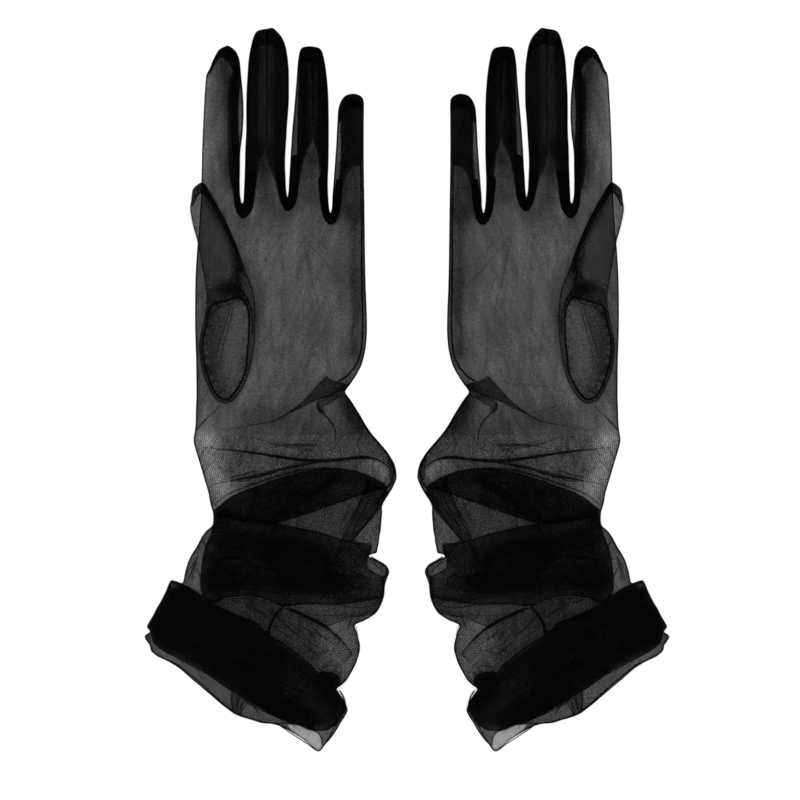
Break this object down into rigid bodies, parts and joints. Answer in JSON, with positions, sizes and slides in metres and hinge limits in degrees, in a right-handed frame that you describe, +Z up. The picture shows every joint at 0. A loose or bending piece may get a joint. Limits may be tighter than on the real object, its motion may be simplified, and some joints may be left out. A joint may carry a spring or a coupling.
{
  "type": "opera gloves",
  "caption": "Pair of long sheer tulle opera gloves laid flat, palms up, thumbs folded in, arms pushed down into gathered folds.",
  "frame": {"origin": "on the surface the gloves lie on, under the middle of the box that holds the pair", "axes": "+X from the left glove to the right glove, +Y towards the fingertips, +Z up from the surface, towards the palms"},
  "size_m": [0.2482, 0.3477, 0.02],
  "materials": {
    "sheer_tulle": "fine sheer black nylon net, matt with a faint sheen",
    "folded_tulle": "doubled black nylon net, nearly opaque",
    "seam_thread": "overlocked black thread seam, matt"
  },
  "bodies": {
    "left_sleeve": {"left_sleeve_tube": "sheer_tulle", "left_sleeve_side_seam": "seam_thread"},
    "left_cuff": {"left_gathered_cuff": "sheer_tulle", "left_rolled_hem": "seam_thread"},
    "left_hand": {"left_hand_trank": "sheer_tulle", "left_hand_side_seam": "seam_thread", "left_index_middle_fork": "folded_tulle", "left_middle_ring_fork": "folded_tulle", "left_ring_little_fork": "folded_tulle", "left_thumb_gusset": "sheer_tulle", "left_thumb_hole_seam": "seam_thread"},
    "left_index_finger": {"left_index_trank": "sheer_tulle", "left_index_fourchette": "folded_tulle"},
    "left_middle_finger": {"left_middle_trank": "sheer_tulle", "left_middle_fourchette_index_side": "folded_tulle", "left_middle_fourchette_ring_side": "folded_tulle"},
    "left_ring_finger": {"left_ring_trank": "sheer_tulle", "left_ring_fourchette_middle_side": "folded_tulle", "left_ring_fourchette_little_side": "folded_tulle"},
    "left_little_finger": {"left_little_trank": "sheer_tulle", "left_little_fourchette": "folded_tulle", "left_little_side_seam": "seam_thread"},
    "left_thumb": {"left_thumb_stall": "sheer_tulle", "left_thumb_side_seam": "seam_thread"},
    "right_sleeve": {"right_sleeve_tube": "sheer_tulle", "right_sleeve_side_seam": "seam_thread"},
    "right_cuff": {"right_gathered_cuff": "sheer_tulle", "right_rolled_hem": "seam_thread"},
    "right_hand": {"right_hand_trank": "sheer_tulle", "right_hand_side_seam": "seam_thread", "right_index_middle_fork": "folded_tulle", "right_middle_ring_fork": "folded_tulle", "right_ring_little_fork": "folded_tulle", "right_thumb_gusset": "sheer_tulle", "right_thumb_hole_seam": "seam_thread"},
    "right_index_finger": {"right_index_trank": "sheer_tulle", "right_index_fourchette": "folded_tulle"},
    "right_middle_finger": {"right_middle_trank": "sheer_tulle", "right_middle_fourchette_index_side": "folded_tulle", "right_middle_fourchette_ring_side": "folded_tulle"},
    "right_ring_finger": {"right_ring_trank": "sheer_tulle", "right_ring_fourchette_middle_side": "folded_tulle", "right_ring_fourchette_little_side": "folded_tulle"},
    "right_little_finger": {"right_little_trank": "sheer_tulle", "right_little_fourchette": "folded_tulle", "right_little_side_seam": "seam_thread"},
    "right_thumb": {"right_thumb_stall": "sheer_tulle", "right_thumb_side_seam": "seam_thread"}
  },
  "joints": [
    {"name": "left_wrist_bend", "type": "hinge", "parent": "left_sleeve", "child": "left_hand", "pos_m": [-0.06, -0.0127, 0.0072], "axis": [1, 0, 0], "range_deg": [0, 60]},
    {"name": "left_index_bend", "type": "hinge", "parent": "left_hand", "child": "left_index_finger", "pos_m": [-0.0895, 0.1078, 0.0072], "axis": [1, 0, 0], "range_deg": [0, 90]},
    {"name": "left_middle_bend", "type": "hinge", "parent": "left_hand", "child": "left_middle_finger", "pos_m": [-0.0679, 0.115, 0.0072], "axis": [1, 0, 0], "range_deg": [0, 90]},
    {"name": "left_ring_bend", "type": "hinge", "parent": "left_hand", "child": "left_ring_finger", "pos_m": [-0.0468, 0.1111, 0.0072], "axis": [1, 0, 0], "range_deg": [0, 90]},
    {"name": "left_little_bend", "type": "hinge", "parent": "left_hand", "child": "left_little_finger", "pos_m": [-0.0281, 0.1015, 0.0072], "axis": [1, 0, 0], "range_deg": [0, 90]},
    {"name": "left_thumb_bend", "type": "hinge", "parent": "left_hand", "child": "left_thumb", "pos_m": [-0.0845, 0.043, 0.0144], "axis": [1, 0, 0], "range_deg": [0, 90]},
    {"name": "left_cuff_slide", "type": "slide", "parent": "left_sleeve", "child": "left_cuff", "axis": [-0.5361, -0.8442, 0], "range_m": [0, 0.12]},
    {"name": "right_wrist_bend", "type": "hinge", "parent": "right_sleeve", "child": "right_hand", "pos_m": [0.06, -0.0127, 0.0072], "axis": [1, 0, 0], "range_deg": [0, 60]},
    {"name": "right_index_bend", "type": "hinge", "parent": "right_hand", "child": "right_index_finger", "pos_m": [0.0895, 0.1078, 0.0072], "axis": [1, 0, 0], "range_deg": [0, 90]},
    {"name": "right_middle_bend", "type": "hinge", "parent": "right_hand", "child": "right_middle_finger", "pos_m": [0.0679, 0.115, 0.0072], "axis": [1, 0, 0], "range_deg": [0, 90]},
    {"name": "right_ring_bend", "type": "hinge", "parent": "right_hand", "child": "right_ring_finger", "pos_m": [0.0468, 0.1111, 0.0072], "axis": [1, 0, 0], "range_deg": [0, 90]},
    {"name": "right_little_bend", "type": "hinge", "parent": "right_hand", "child": "right_little_finger", "pos_m": [0.0281, 0.1015, 0.0072], "axis": [1, 0, 0], "range_deg": [0, 90]},
    {"name": "right_thumb_bend", "type": "hinge", "parent": "right_hand", "child": "right_thumb", "pos_m": [0.0845, 0.043, 0.0144], "axis": [1, 0, 0], "range_deg": [0, 90]},
    {"name": "right_cuff_slide", "type": "slide", "parent": "right_sleeve", "child": "right_cuff", "axis": [0.5361, -0.8442, 0], "range_m": [0, 0.12]},
    {"name": "right_glove_lift", "type": "slide", "parent": "left_sleeve", "child": "right_sleeve", "axis": [0, 0, 1], "range_m": [0, 0.12]}
  ]
}
